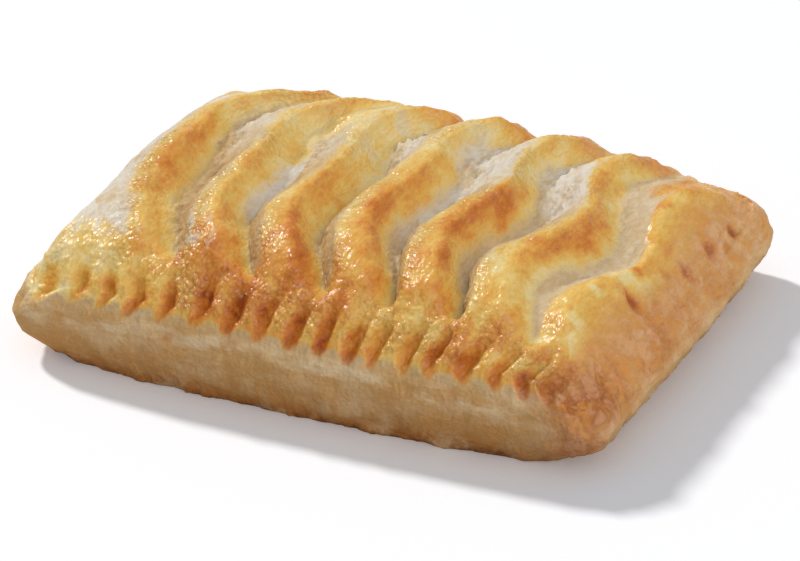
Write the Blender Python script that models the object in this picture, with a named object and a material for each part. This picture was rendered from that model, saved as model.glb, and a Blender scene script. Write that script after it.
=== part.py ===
"""A baked puff pastry parcel, uncut: one solid.

The lid is a dome cut by seven wavy slashes, with six raised strips between
them. Its long edges are pressed with a row of fork marks, and a rounded side
wall runs from there to a flat base. The long side lies along X, the front
faces -Y.
"""

import bpy
import numpy as np

MM = 0.001

# --- plan, millimetres --------------------------------------------------------
LID_HALF_LENGTH = 66.8  # the crimped edge lies this far from the middle
LID_HALF_WIDTH = 50.4
LID_CORNER = 6.5  # corner radius of the crimped edge
WALL_CORNER = 6.5  # and of the side wall
BASE_CORNER = 15.0
RIGHT_IN = 1.8  # how much nearer the right end lies than the left
SKEW_RIGHT = 2.8  # how far more it comes in at its front corner
SKEW_FRONT = 2.8  # how far the front comes in at its right corner
FRONT_BULGE = 0.8
LEFT_BULGE = 2.2

# --- heights ------------------------------------------------------------------
CROWN = 32.0  # the dome's highest line, before the strips swell
CROWN_AT = 3.0  # x of that line
CROWN_FALL_LEFT = 2.8
CROWN_FALL_RIGHT = 11.0
EDGE = 20.0  # height of the lid's edge
EDGE_RIGHT = 14.6  # and of its right end
EDGE_CORNER = 3.0  # how much lower the edge lies in the corners
# how far the left edge rises, from front to back, and the back edge from left
# to right, by their place in the square
LEFT_EDGE = (
    (-1.0, -1.4),
    (-0.7, -2.6),
    (-0.35, -2.6),
    (0.1, 1.2),
    (0.35, 0.4),
    (0.7, -2.4),
    (1.0, -7.5),
)
BACK_EDGE = (
    (-1.0, 0.0),
    (-0.1, 0.0),
    (0.3, -0.8),
    (0.6, -1.6),
    (0.82, -1.2),
    (0.93, 1.8),
    (1.0, 4.5),
)
BACK_LEFT_DROP = 4.0  # how far the dome has sunk towards this corner
SHOULDER_Y = 23.0  # the dome reaches its crown this far in from the edge
SHOULDER_LEFT = 13.0
SHOULDER_RIGHT = 16.0
SHOULDER_POWER = 2.3

# --- fork marks round the edge --------------------------------------------------
CRIMP_COLUMNS = 4  # grid columns to one pressed dent along the long sides
CRIMP_ROWS = 4  # and rows along the short ones
CRIMP_PITCH = 7.6  # length of the edge to one dent
CRIMP_DEEP = 1.7  # how far a dent goes in, square to the surface
CRIMP_FLAT = 0.6  # half width of a dent's floor
CRIMP_HALF = 3.1  # and of its mouth
CRIMP_MIDDLE = 1.0  # its round lower end is struck this far in from the edge
CRIMP_LEAN = 0.4  # how far it leans below the edge
CRIMP_REACH = 12.0  # a dent fades out this far in from the edge
LEFT_END_CRIMP = 0.5  # share of a dent left on the left end
RIGHT_END_CRIMP = 0.12  # and on the right one, which puffed up
CRIMP_CORNER = 5.0  # a row of dents dies out this near to a corner
CRIMP_BACK_RIGHT = 30.0  # and sooner in this one

# --- side wall: out along X, out along Y, share of the edge's height ----------
WALL = (
    (1.1, 1.0, 0.92),
    (2.2, 1.8, 0.82),
    (3.1, 2.3, 0.72),
    (3.7, 2.5, 0.645),
    (3.9, 2.6, 0.56),
    (2.7, 2.3, 0.37),
    (0.7, 1.6, 0.19),
    (-1.2, 0.9, 0.055),
    (-2.8, 0.4, 0.0),
)
WALL_CRIMPED = 0.6  # share of the edge's height down to which the dents run

# --- slashes, from the left -----------------------------------------------------
# at, lean: the line of the slash's foot; sway, phase: its wave; front, back:
# how far its ends turn aside; deep: its depth; end: y where it closes at the back
PERIOD = 48.0
SLASHES = (
    dict(at=-62.5, lean=0.00, sway=0.8, phase=-2, front=13.5, back=12.0, deep=0.2, end=48.5),
    dict(at=-44.6, lean=-0.19, sway=0.6, phase=-8, front=3.0, back=18.5, deep=5.6, end=48.5),
    dict(at=-26.8, lean=-0.08, sway=0.8, phase=-8, front=9.0, back=12.0, deep=5.8, end=36.0),
    dict(at=-9.6, lean=-0.06, sway=1.3, phase=-6, front=9.0, back=9.5, deep=6.4, end=48.5),
    dict(at=9.6, lean=-0.04, sway=1.7, phase=-3, front=4.8, back=8.0, deep=6.6, end=48.5),
    dict(at=28.8, lean=-0.03, sway=3.0, phase=-7, front=-1.4, back=6.5, deep=6.6, end=48.5),
    dict(at=48.8, lean=0.00, sway=3.4, phase=-12, front=-1.6, back=-1.0, deep=3.8, end=48.5),
)
# where each strip's crest begins, as a share of the strip's pitch: near the
# front, at the middle and near the back
CRESTS = (
    (0.33, 0.38, 0.58),
    (0.20, 0.44, 0.60),
    (0.21, 0.50, 0.56),
    (0.20, 0.30, 0.56),
    (0.12, 0.38, 0.56),
    (0.15, 0.44, 0.50),
)
SLASH_FRONT = -45.5  # y of the slashes' front ends
SLASH_BACK = 48.5
SLASH_RISE = 16.0  # length over which a slash's floor rises to its back end
FRONT_SHALLOW = 0.2  # how much shallower a slash is at the front
BACK_SHALLOW = 0.3  # and at the back
SWELL = 1.6  # how much a strip's crest stands above the dome
LUMPS = 0.4  # height of the dough's lumps
LUMP_SIZE = 7.0

# --- grid -----------------------------------------------------------------------
LEFT_COLUMNS = 8
STRIP_COLUMNS = (0.0, 0.07, 0.16, 0.27, 0.39, 0.51, 0.63, 0.76, 0.88)
RIGHT_COLUMNS = 13
ROWS = 46
EDGE_SPREAD = 0.6  # share by which the columns spread evenly at the long edges
EDGE_SPREAD_FROM = 0.82  # and the share of the half width where that begins


def ramp(x, a, b):
    t = np.clip((x - a) / (b - a), 0.0, 1.0)
    return t * t * (3.0 - 2.0 * t)


def lattice(ix, iy, seed):
    """A fixed pseudo-random value in 0..1 for each whole-number cell."""
    n = np.sin(ix * 127.1 + iy * 311.7 + seed * 74.7) * 43758.5453
    return n - np.floor(n)


def noise(x, y, size, seed):
    """Smooth noise in -1..1 with lumps about `size` across."""
    gx, gy = x / size, y / size
    ix, iy = np.floor(gx), np.floor(gy)
    fx, fy = gx - ix, gy - iy
    fx, fy = fx * fx * (3 - 2 * fx), fy * fy * (3 - 2 * fy)
    near = lattice(ix, iy, seed) * (1 - fx) + lattice(ix + 1, iy, seed) * fx
    far = lattice(ix, iy + 1, seed) * (1 - fx) + lattice(ix + 1, iy + 1, seed) * fx
    return 2 * (near * (1 - fy) + far * fy) - 1


def plan(s, t, half_x, half_y, radius):
    """(s, t) in the square -1..1 to the parcel's outline at some height."""
    cut = 0.293 * radius
    x = s * half_x * (1 - cut / half_x * np.abs(t) ** ((half_y - cut) / cut))
    y = t * half_y * (1 - cut / half_y * np.abs(s) ** ((half_x - cut) / cut))
    x = x - np.clip(s, 0, 1) ** 2 * (RIGHT_IN + SKEW_RIGHT * ((1 - t) / 2) ** 2)
    x = x - LEFT_BULGE * np.clip(-s, 0, 1) ** 2 * (1 - t**2)
    y = y + np.clip(-t, 0, 1) * (
        SKEW_FRONT * ((1 + s) / 2) ** 3 - FRONT_BULGE * (1 - s**2)
    )
    return x, y


def slash_line(slash, y):
    turn_front = np.clip((-18.0 - y) / 27.0, 0, None) ** 1.5
    turn_back = np.clip((y - 20.0) / 16.0, 0, 1.12) ** 1.5
    wave = slash["sway"] * np.sin(2 * np.pi * (y - slash["phase"]) / PERIOD)
    turned = slash["front"] * turn_front + slash["back"] * turn_back
    return slash["at"] + slash["lean"] * y + wave + turned


def edge_height(s, t):
    """Height of the lid's edge, from the position in the square."""
    along_x = EDGE + (EDGE_RIGHT - EDGE) * (s + 1) / 2
    on_end = ramp(np.abs(s) - np.abs(t), -0.22, 0.12)
    lift = np.interp(t, *zip(*LEFT_EDGE)) * np.clip(-s, 0, 1) ** 4
    lift = lift + np.interp(s, *zip(*BACK_EDGE)) * np.clip(t, 0, 1) ** 4
    corner = EDGE_CORNER * np.abs(s * t) ** 10
    return EDGE + (along_x - EDGE) * on_end - corner + lift


def shoulder(distance, reach):
    return 1 - (1 - np.clip(distance / reach, 0, 1)) ** SHOULDER_POWER


def dome(s, t):
    """Height of the lid before it is slashed and crimped."""
    in_x = LID_HALF_LENGTH * (1 - np.abs(s))
    in_y = LID_HALF_WIDTH * (1 - np.abs(t))
    gap_x = 1 - shoulder(in_x, np.where(s < 0, SHOULDER_LEFT, SHOULDER_RIGHT))
    gap_y = 1 - shoulder(in_y, SHOULDER_Y)
    rise = 1 - (gap_x**3 + gap_y**3) ** (1 / 3)
    off = s - CROWN_AT / LID_HALF_LENGTH
    left, right = np.clip(-off, 0, None), np.clip(off, 0, None)
    back_left = 1.5 * BACK_LEFT_DROP * (np.clip(-s, 0, 1) * np.clip(t, 0, 1)) ** 2
    crown = CROWN - CROWN_FALL_LEFT * left**2 - CROWN_FALL_RIGHT * right**3
    crown = crown - back_left
    edge = edge_height(s, t)
    return edge + (crown - edge) * np.clip(rise, 0, 1)


def widening(y):
    """0 where a slash is a slit, 1 where it lies wide open, towards the back."""
    return ramp(y, -22.0, 14.0) * (1 - 0.25 * ramp(y, 30.0, 45.0))


def crest_line(strip, y):
    front, middle, back = CRESTS[strip]
    along = front + (middle - front) * ramp(y, -32.0, -6.0)
    return along + (back - middle) * ramp(y, 2.0, 28.0)


def groove(share, crest, wide, far):
    """1 in a slash, 0 on a crest, over the pitch from one slash to the next.

    From the foot of a strip's left wall at 0, over its crest and down its right
    flank to the floor, which ends at the next wall at 1.
    """
    rise = np.sin(np.clip(share / crest, 0, 1) * np.pi / 2) ** (1.0 + 1.2 * wide)
    low = 0.97 - 0.12 * wide + 0.10 * far
    fall = ramp(share, np.maximum(0.50, crest + 0.06), low)
    return 1 - rise * (1 - fall)


def slash_reach(y, end):
    shallow = 1 - BACK_SHALLOW * ramp(y, 0.0, 26.0)
    slit = 1 - FRONT_SHALLOW * (1 - ramp(y, -34.0, -6.0))
    opening = ramp(y, SLASH_FRONT, SLASH_FRONT + 8.0) * slit
    return opening * (1 - ramp(y, end - SLASH_RISE, end)) * shallow


def dent(line, lines_each, inward):
    """How deep a fork mark is, 0..1, by grid line and distance in from the edge:
    a round-ended trough that fades out up the lid.
    """
    which = np.floor(line / lines_each) * 3.7
    across = line / lines_each % 1 - 0.5 + 0.10 * noise(which, 0.0, 1.0, 51)
    across = across * CRIMP_PITCH - CRIMP_LEAN * np.clip(inward, None, 0)
    middle = CRIMP_MIDDLE + 0.6 * noise(which, 5.0, 1.0, 52)
    away = np.hypot(across, np.clip(middle - inward, 0, None))
    away = away * (1 + 0.15 * noise(which, 9.0, 1.0, 53))
    near, far = ramp(inward, middle, middle + 5.0), ramp(inward, 5.0, CRIMP_REACH)
    return (1 - ramp(away, CRIMP_FLAT, CRIMP_HALF)) * (1 - 0.7 * near - 0.3 * far)


def lid_height(s, t, lane, share):
    """lane: -1 left of the slashes, 0..5 a strip, 6 right of them."""
    y = t * LID_HALF_WIDTH
    wide, far = widening(y), ramp(y, 18.0, 34.0)
    deeps = [slash["deep"] * slash_reach(y, slash["end"]) for slash in SLASHES]
    cut = np.where(lane == -1, deeps[0] * ramp(share, 0.1, 1.0), 0.0)
    for k in range(6):
        deep = deeps[k] + (deeps[k + 1] - deeps[k]) * ramp(share, 0.3, 0.7)
        cut = np.where(lane == k, deep * groove(share, crest_line(k, y), wide, far), cut)
    last = deeps[6] * (1 - ramp(share, 0.16 * wide, 0.36 + 0.1 * wide))
    cut = np.where(lane == 6, last, cut)
    strip = (lane >= 0) & (lane <= 5)
    swell = np.where(strip, SWELL * np.sin(np.pi * share), 0.0)
    # the first strip has no slash to its left that shows, so it swells out of the dome
    first = (lane == 0) & (share < 0.5)
    swell = np.where(first, SWELL * ramp(share, 0.0, 0.5), swell)
    return dome(s, t) + swell * slash_reach(y, SLASH_BACK) - cut


def grid():
    """Positions (s, t) in the square -1..1 for every row and column, with each
    column's lane and its share of the way across that lane.

    Columns follow the slashes and rows crowd towards the long edges.
    """
    left = [(-1, i / LEFT_COLUMNS) for i in range(LEFT_COLUMNS)]
    strips = [(lane, share) for lane in range(6) for share in STRIP_COLUMNS]
    right = [(6, (i / RIGHT_COLUMNS) ** 1.1) for i in range(RIGHT_COLUMNS + 1)]
    lanes, shares = np.array(left + strips + right).T

    even = np.linspace(-1, 1, ROWS + 1)
    t = even * (1.18 - 0.18 * even**2)
    lines = [np.full(ROWS + 1, -LID_HALF_LENGTH)]
    lines += [slash_line(slash, t * LID_HALF_WIDTH) for slash in SLASHES]
    lines += [np.full(ROWS + 1, LID_HALF_LENGTH)]
    start = np.stack([lines[int(lane) + 1] for lane in lanes], axis=1)
    end = np.stack([lines[int(lane) + 2] for lane in lanes], axis=1)
    aligned = (start + (end - start) * shares) / LID_HALF_LENGTH
    spread = np.linspace(-1, 1, len(lanes))
    hold = 1 - EDGE_SPREAD * ramp(np.abs(t), EDGE_SPREAD_FROM, 1.0)[:, None]
    s = spread + (aligned - spread) * hold
    t = np.repeat(t[:, None], len(lanes), axis=1)
    return s, t, lanes[None, :], shares[None, :]


def in_from_edges(s, t):
    return LID_HALF_LENGTH * (1 - np.abs(s)), LID_HALF_WIDTH * (1 - np.abs(t))


def dents(s, t):
    """How deep the fork marks are at each grid point, 0..1."""
    in_x, in_y = in_from_edges(s, t)
    rows, columns = np.indices(s.shape)
    near = np.where((s > 0) & (t > 0), CRIMP_BACK_RIGHT, CRIMP_CORNER)
    on_long = dent(columns, CRIMP_COLUMNS, in_y) * ramp(in_x, 0, near)
    on_end = dent(rows + 1, CRIMP_ROWS, in_x) * ramp(in_y, 0, CRIMP_CORNER)
    on_end = on_end * np.where(s > 0, RIGHT_END_CRIMP, LEFT_END_CRIMP)
    return np.maximum(on_long, on_end)


def lid_points(s, t, lane, share):
    x, y = plan(s, t, LID_HALF_LENGTH, LID_HALF_WIDTH, LID_CORNER)
    in_x, in_y = in_from_edges(s, t)
    lumps = LUMPS * (noise(x, y, LUMP_SIZE, 3) + 0.5 * noise(x, y, LUMP_SIZE / 2, 5))
    z = lid_height(s, t, lane, share) + lumps * ramp(np.minimum(in_x, in_y), 1.0, 8.0)
    return np.stack([x.ravel(), y.ravel(), z.ravel()], axis=1)


def wall_rings(s, t, column):
    """The side wall's rings of points, from the lid's edge down to the base, and
    how deep the long sides' fork marks run over the edge at each.
    """
    edge = edge_height(s, t)
    in_x, _ = in_from_edges(s, t)
    near = np.where((s > 0) & (t > 0), CRIMP_BACK_RIGHT, CRIMP_CORNER)
    long_side = (np.abs(t) > 0.9999) * ramp(in_x, 0, near)
    rings, pressed = [], []
    for out_x, out_y, share in WALL:
        corner = BASE_CORNER + (WALL_CORNER - BASE_CORNER) * ramp(share, 0.0, 0.35)
        x, y = plan(s, t, LID_HALF_LENGTH + out_x, LID_HALF_WIDTH + out_y, corner)
        rings.append(np.stack([x, y, edge * share], axis=1))
        over = dent(column, CRIMP_COLUMNS, -out_y) * long_side
        pressed.append(over * (share > WALL_CRIMPED))
    return rings, pressed


def normals_of(points, faces):
    """Unit normals at the points of a mesh of quads."""
    a, b, c, d = (points[faces[:, k]] for k in range(4))
    across = np.cross(c - a, d - b)
    normals = np.zeros_like(points)
    for k in range(4):
        np.add.at(normals, faces[:, k], across)
    return normals / (np.linalg.norm(normals, axis=1)[:, None] + 1e-9)


def pastry_mesh():
    s, t, lane, share = grid()
    index = np.arange(s.size).reshape(s.shape)
    cells = [index[:-1, :-1], index[:-1, 1:], index[1:, 1:], index[1:, :-1]]
    faces = [np.stack(cells, axis=-1).reshape(-1, 4)]
    # the lid's edge, counterclockwise from the front left corner
    loop = np.concatenate(
        [index[0, :-1], index[:-1, -1], index[-1, :0:-1], index[:0:-1, 0]]
    )
    column = np.indices(s.shape)[1].ravel()[loop]
    rings, pressed = wall_rings(s.ravel()[loop], t.ravel()[loop], column)
    upper = loop
    for k in range(len(rings)):
        lower = s.size + k * len(loop) + np.arange(len(loop))
        faces.append(np.stack([upper, lower, np.roll(lower, -1), np.roll(upper, -1)], axis=1))
        upper = lower
    faces = np.concatenate(faces)

    points = np.concatenate([lid_points(s, t, lane, share), *rings])
    low, high = points.min(axis=0), points.max(axis=0)
    points -= np.array([(low[0] + high[0]) / 2, (low[1] + high[1]) / 2, low[2]])
    press = np.concatenate([dents(s, t).ravel(), *pressed])
    points -= CRIMP_DEEP * press[:, None] * normals_of(points, faces)
    faces = [tuple(map(int, face)) for face in faces] + [tuple(map(int, upper[::-1]))]

    mesh = bpy.data.meshes.new("pastry")
    mesh.from_pydata((points * MM).tolist(), [], faces)
    mesh.shade_smooth()
    mesh.update()
    return mesh


def baked_dough():
    """Egg-washed puff pastry: golden, with a soft gloss."""
    material = bpy.data.materials.new("baked dough")
    material.use_nodes = True
    surface = material.node_tree.nodes["Principled BSDF"]
    surface.inputs["Base Color"].default_value = (0.60, 0.33, 0.12, 1)
    surface.inputs["Roughness"].default_value = 0.45
    surface.inputs["Metallic"].default_value = 0.0
    return material


def main():
    for old in list(bpy.data.objects):
        bpy.data.objects.remove(old, do_unlink=True)
    pastry = bpy.data.objects.new("pastry", pastry_mesh())
    pastry.data.materials.append(baked_dough())
    bpy.context.scene.collection.objects.link(pastry)


main()
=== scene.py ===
import math

import bpy
import numpy as np
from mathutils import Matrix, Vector


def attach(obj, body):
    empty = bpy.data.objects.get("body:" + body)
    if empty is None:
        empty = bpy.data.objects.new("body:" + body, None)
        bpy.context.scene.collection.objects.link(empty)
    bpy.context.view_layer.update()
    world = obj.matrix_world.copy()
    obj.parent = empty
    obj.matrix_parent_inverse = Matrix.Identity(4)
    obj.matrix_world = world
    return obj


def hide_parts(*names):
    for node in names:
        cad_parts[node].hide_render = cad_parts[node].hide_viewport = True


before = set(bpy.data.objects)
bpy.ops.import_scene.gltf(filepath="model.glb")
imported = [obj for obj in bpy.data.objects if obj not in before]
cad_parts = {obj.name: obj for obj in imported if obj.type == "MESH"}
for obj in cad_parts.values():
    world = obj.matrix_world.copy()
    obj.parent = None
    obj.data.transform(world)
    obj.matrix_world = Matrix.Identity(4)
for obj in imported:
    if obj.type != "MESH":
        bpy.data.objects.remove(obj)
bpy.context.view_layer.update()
mm = 0.001
print("frame loaded")

# The parcel's form, in millimetres as on the part's own drawing. s and t run from -1 to 1
# over its length and width. A lane lies between two slashes: -1 is left of them all, 0 to 5
# are the strips and 6 is right of them. A share runs from 0 to 1 across a lane.
crust = dict(
    # plan: half sizes of the crimped edge, and corner radii of the lid, the wall and the base
    halfLength=66.8, halfWidth=50.4, lidCorner=6.5, wallCorner=6.5, baseCorner=15.0,
    cornerCut=0.293,  # share of its radius that a round corner takes off
    rightIn=1.8, skewRight=2.8, skewFront=2.8, frontBulge=0.8, leftBulge=2.2,
    # the dome's highest line, and its fall to the ends and to the back left corner
    crown=32.0, crownAt=3.0, crownFallLeft=2.8, crownFallRight=11.0, backLeftDrop=6.0,
    shoulderLong=23.0, shoulderLeft=13.0, shoulderRight=16.0, shoulderPower=2.3, shoulderBlend=3,
    # height of the lid's edge, at its right end, and how much lower it lies in the corners
    edge=20.0, edgeRight=14.6, edgeCorner=3.0, edgeCornerPower=10, edgeEnd=(-0.22, 0.12),
    # how far the left edge and the back edge rise, from front to back and from left to right
    leftEdge=(
        (-1.0, -1.4), (-0.7, -2.6), (-0.35, -2.6), (0.1, 1.2), (0.35, 0.4), (0.7, -2.4), (1.0, -7.5),
    ),
    backEdge=(
        (-1.0, 0.0), (-0.1, 0.0), (0.3, -0.8), (0.6, -1.6), (0.82, -1.2), (0.93, 1.8), (1.0, 4.5),
    ),
    edgeRisePower=4,
    # a fork mark: its depth, where its round lower end is struck, half widths, pitch and lean;
    # most of the depth fades over the short length, and the rest further up
    crimpDeep=1.7, crimpMiddle=1.0, crimpFlat=0.6, crimpHalf=3.1, crimpPitch=7.6, crimpLean=0.4,
    crimpShort=5.0, crimpReach=12.0, crimpFades=(0.7, 0.3), crimpColumns=4, crimpRows=4,
    # how much the marks differ: aside, in their lower ends and in width
    crimpAside=0.10, crimpLower=0.6, crimpWider=0.15, crimpSeed=3.7,
    toastDown=0.6, toastLong=1.5, toastSpan=(0.9, 2.9),
    # what is left of a mark on the ends, and how near to a corner the marks die out
    leftEndCrimp=0.5, rightEndCrimp=0.12, crimpCorner=5.0, crimpBackRight=30.0, wallCrimped=0.6,
    # slashes: the wave's period, and where and over what length their ends turn aside
    period=48.0, turnFront=-18.0, turnFrontOver=27.0, turnBack=20.0, turnBackOver=16.0,
    turnBackMost=1.12, turnPower=1.5,
    # where they begin and end, how their floors rise there, and how much shallower they are
    slashFront=-45.5, slashBack=48.5, frontRise=8.0, backRise=16.0,
    frontShallow=0.2, frontShallowSpan=(-34.0, -6.0), backShallow=0.3, backShallowSpan=(0.0, 26.0),
    # a slash opens from a slit towards the back, and narrows a little at its end
    opens=(-22.0, 14.0), narrows=(30.0, 45.0), narrowing=0.25,
    # across a lane: the left wall's steepness, the right flank's start, and the floor's start
    wallSteep=1.0, wallOpen=1.2, flankFrom=0.50, flankPast=0.06,
    floorFrom=0.97, floorOpen=0.12, floorBack=0.10, floorBackSpan=(18.0, 34.0),
    crestFront=(-32.0, -6.0), crestBack=(2.0, 28.0), deepBlend=(0.3, 0.7), leftSlope=(0.1, 1.0),
    lastWall=0.16, lastWallTo=0.36, lastWallOpen=0.1,
    swell=1.6, lumps=0.4, lumpSize=7.0, lumpSpan=(1.0, 8.0),
    # the solid's own grid, which the finer one here follows
    stripColumns=(0.0, 0.07, 0.16, 0.27, 0.39, 0.51, 0.63, 0.76, 0.88, 1.0),
    leftColumns=8, rightColumns=13, rightPower=1.1, rows=46, rowCrowd=0.18,
    edgeSpread=0.6, edgeSpreadFrom=0.82,
    # how finely the surface is cut
    fineLeft=30, fineStrip=44, fineRight=50, fineRows=172, fineWall=31,
    # side wall: out along X, out along Y, share of the edge's height
    wall=(
        (0.0, 0.0, 1.0),
        (1.1, 1.0, 0.92),
        (2.2, 1.8, 0.82),
        (3.1, 2.3, 0.72),
        (3.7, 2.5, 0.645),
        (3.9, 2.6, 0.56),
        (2.7, 2.3, 0.37),
        (0.7, 1.6, 0.19),
        (-1.2, 0.9, 0.055),
        (-2.8, 0.4, 0.0),
    ),
    wallRound=0.85, wallCornerTo=0.35,
    # small pits in the smooth end: X, Y, width, depth
    pits=(
        (60.3, -11.5, 2.0, 0.9), (64.3, 11.2, 1.5, 0.6), (64.8, 23.0, 1.4, 0.6), (66.4, 30.2, 1.2, 0.5),
        (66.0, 35.6, 1.4, 0.7), (61.5, 3.5, 1.1, 0.4), (57.5, -3.0, 1.1, 0.4),
    ),
    pitUneven=0.3, pitUnevenSize=1.2, pitBaked=1.4, pitBrown=0.7,
    # the slashes from the left: foot line, lean, wave, turned ends, depth and back end
    slashes=(
        dict(at=-62.5, lean=0.00, sway=0.8, phase=-2, front=13.5, back=12.0, deep=0.2, end=48.5),
        dict(at=-44.6, lean=-0.19, sway=0.6, phase=-8, front=3.0, back=18.5, deep=5.6, end=48.5),
        dict(at=-26.8, lean=-0.08, sway=0.8, phase=-8, front=9.0, back=12.0, deep=5.8, end=36.0),
        dict(at=-9.6, lean=-0.06, sway=1.3, phase=-6, front=9.0, back=9.5, deep=6.4, end=48.5),
        dict(at=9.6, lean=-0.04, sway=1.7, phase=-3, front=4.8, back=8.0, deep=6.6, end=48.5),
        dict(at=28.8, lean=-0.03, sway=3.0, phase=-7, front=-1.4, back=6.5, deep=6.6, end=48.5),
        dict(at=48.8, lean=0.00, sway=3.4, phase=-12, front=-1.6, back=-1.0, deep=3.8, end=48.5),
    ),
    # the share of each strip where its crest begins: near the front, the middle and the back
    crests=(
        (0.33, 0.38, 0.58),
        (0.20, 0.44, 0.60),
        (0.21, 0.50, 0.56),
        (0.20, 0.30, 0.56),
        (0.12, 0.38, 0.56),
        (0.15, 0.44, 0.50),
    ),
)


def ramp(x, a, b):
    # smoothly from 0 at a to 1 at b
    t = np.clip((x - a) / (b - a), 0.0, 1.0)
    return t * t * (3.0 - 2.0 * t)


def fade(x, a, b):
    # smoothly from 1 at a to 0 at b
    return 1 - ramp(x, a, b)


def lattice(ix, iy, seed):
    n = np.sin(ix * 127.1 + iy * 311.7 + seed * 74.7) * 43758.5453
    return n - np.floor(n)


def noise(x, y, size, seed):
    # smooth lumps between -1 and 1, about size across
    gx, gy = x / size, y / size
    ix, iy = np.floor(gx), np.floor(gy)
    fx, fy = gx - ix, gy - iy
    fx, fy = fx * fx * (3 - 2 * fx), fy * fy * (3 - 2 * fy)
    near = lattice(ix, iy, seed) * (1 - fx) + lattice(ix + 1, iy, seed) * fx
    far = lattice(ix, iy + 1, seed) * (1 - fx) + lattice(ix + 1, iy + 1, seed) * fx
    return 2 * (near * (1 - fy) + far * fy) - 1


def layered(x, y, size, seed, layers=3):
    total = 0
    for k in range(layers):
        total = total + noise(x, y, size / 2**k, seed + 7 * k) / 2**k
    return total


def outline(s, t, halfX, halfY, radius):
    # (s, t) in the square to the parcel's outline at some height
    cut = crust["cornerCut"] * radius
    x = s * halfX * (1 - cut / halfX * np.abs(t) ** ((halfY - cut) / cut))
    y = t * halfY * (1 - cut / halfY * np.abs(s) ** ((halfX - cut) / cut))
    x = x - np.clip(s, 0, 1) ** 2 * (crust["rightIn"] + crust["skewRight"] * ((1 - t) / 2) ** 2)
    x = x - crust["leftBulge"] * np.clip(-s, 0, 1) ** 2 * (1 - t**2)
    y = y + np.clip(-t, 0, 1) * (
        crust["skewFront"] * ((1 + s) / 2) ** 3 - crust["frontBulge"] * (1 - s**2)
    )
    return x, y


def inFromEdges(s, t):
    return crust["halfLength"] * (1 - np.abs(s)), crust["halfWidth"] * (1 - np.abs(t))


def slashLine(slash, y):
    turnFront = np.clip((crust["turnFront"] - y) / crust["turnFrontOver"], 0, None)
    turnBack = np.clip((y - crust["turnBack"]) / crust["turnBackOver"], 0, crust["turnBackMost"])
    wave = slash["sway"] * np.sin(2 * np.pi * (y - slash["phase"]) / crust["period"])
    power = crust["turnPower"]
    turned = slash["front"] * turnFront**power + slash["back"] * turnBack**power
    return slash["at"] + slash["lean"] * y + wave + turned


def edgeHeight(s, t):
    alongX = crust["edge"] + (crust["edgeRight"] - crust["edge"]) * (s + 1) / 2
    onEnd = ramp(np.abs(s) - np.abs(t), *crust["edgeEnd"])
    power = crust["edgeRisePower"]
    lift = np.interp(t, *zip(*crust["leftEdge"])) * np.clip(-s, 0, 1) ** power
    lift = lift + np.interp(s, *zip(*crust["backEdge"])) * np.clip(t, 0, 1) ** power
    corner = crust["edgeCorner"] * np.abs(s * t) ** crust["edgeCornerPower"]
    return crust["edge"] + (alongX - crust["edge"]) * onEnd - corner + lift


def shoulder(distance, reach):
    return 1 - (1 - np.clip(distance / reach, 0, 1)) ** crust["shoulderPower"]


def dome(s, t):
    inX, inY = inFromEdges(s, t)
    gapX = 1 - shoulder(inX, np.where(s < 0, crust["shoulderLeft"], crust["shoulderRight"]))
    gapY = 1 - shoulder(inY, crust["shoulderLong"])
    blend = crust["shoulderBlend"]
    rise = 1 - (gapX**blend + gapY**blend) ** (1 / blend)
    off = s - crust["crownAt"] / crust["halfLength"]
    left, right = np.clip(-off, 0, None), np.clip(off, 0, None)
    crown = crust["crown"] - crust["crownFallLeft"] * left**2 - crust["crownFallRight"] * right**3
    crown = crown - crust["backLeftDrop"] * (np.clip(-s, 0, 1) * np.clip(t, 0, 1)) ** 2
    edge = edgeHeight(s, t)
    return edge + (crown - edge) * np.clip(rise, 0, 1)


def widening(y):
    # 0 where a slash is a slit, 1 where it lies wide open
    return ramp(y, *crust["opens"]) * (1 - crust["narrowing"] * ramp(y, *crust["narrows"]))


def crestLine(strip, y):
    front, middle, back = crust["crests"][strip]
    along = front + (middle - front) * ramp(y, *crust["crestFront"])
    return along + (back - middle) * ramp(y, *crust["crestBack"])


def groove(share, crest, wide, far):
    # 1 in a slash, 0 on a crest, over the pitch from one slash's foot to the next
    steep = crust["wallSteep"] + crust["wallOpen"] * wide
    rise = np.sin(np.clip(share / crest, 0, 1) * np.pi / 2) ** steep
    flank = np.maximum(crust["flankFrom"], crest + crust["flankPast"])
    floor = crust["floorFrom"] - crust["floorOpen"] * wide + crust["floorBack"] * far
    return 1 - rise * fade(share, flank, floor)


def slashReach(y, end):
    # how much of its depth a slash has along its length
    shallow = 1 - crust["backShallow"] * ramp(y, *crust["backShallowSpan"])
    slit = 1 - crust["frontShallow"] * fade(y, *crust["frontShallowSpan"])
    opening = ramp(y, crust["slashFront"], crust["slashFront"] + crust["frontRise"]) * slit
    return opening * fade(y, end - crust["backRise"], end) * shallow


def dent(line, linesEach, inward):
    # one fork mark: a round-ended trough that fades out up the lid, and its baked lower end
    which = np.floor(line / linesEach) * crust["crimpSeed"]
    across = line / linesEach % 1 - 0.5 + crust["crimpAside"] * noise(which, 0.0, 1.0, 51)
    across = across * crust["crimpPitch"] - crust["crimpLean"] * np.clip(inward, None, 0)
    middle = crust["crimpMiddle"] + crust["crimpLower"] * noise(which, 5.0, 1.0, 52)
    wider = 1 + crust["crimpWider"] * noise(which, 9.0, 1.0, 53)
    away = np.hypot(across, np.clip(middle - inward, 0, None)) * wider
    (soon, late), short = crust["crimpFades"], crust["crimpShort"]
    deep = soon * fade(inward, middle, middle + short)
    deep = deep + late * fade(inward, short, crust["crimpReach"])
    fromEnd = (inward - middle + crust["toastDown"]) / crust["toastLong"]
    toast = fade(np.hypot(across, fromEnd), *crust["toastSpan"])
    return deep * fade(away, crust["crimpFlat"], crust["crimpHalf"]), toast


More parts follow.
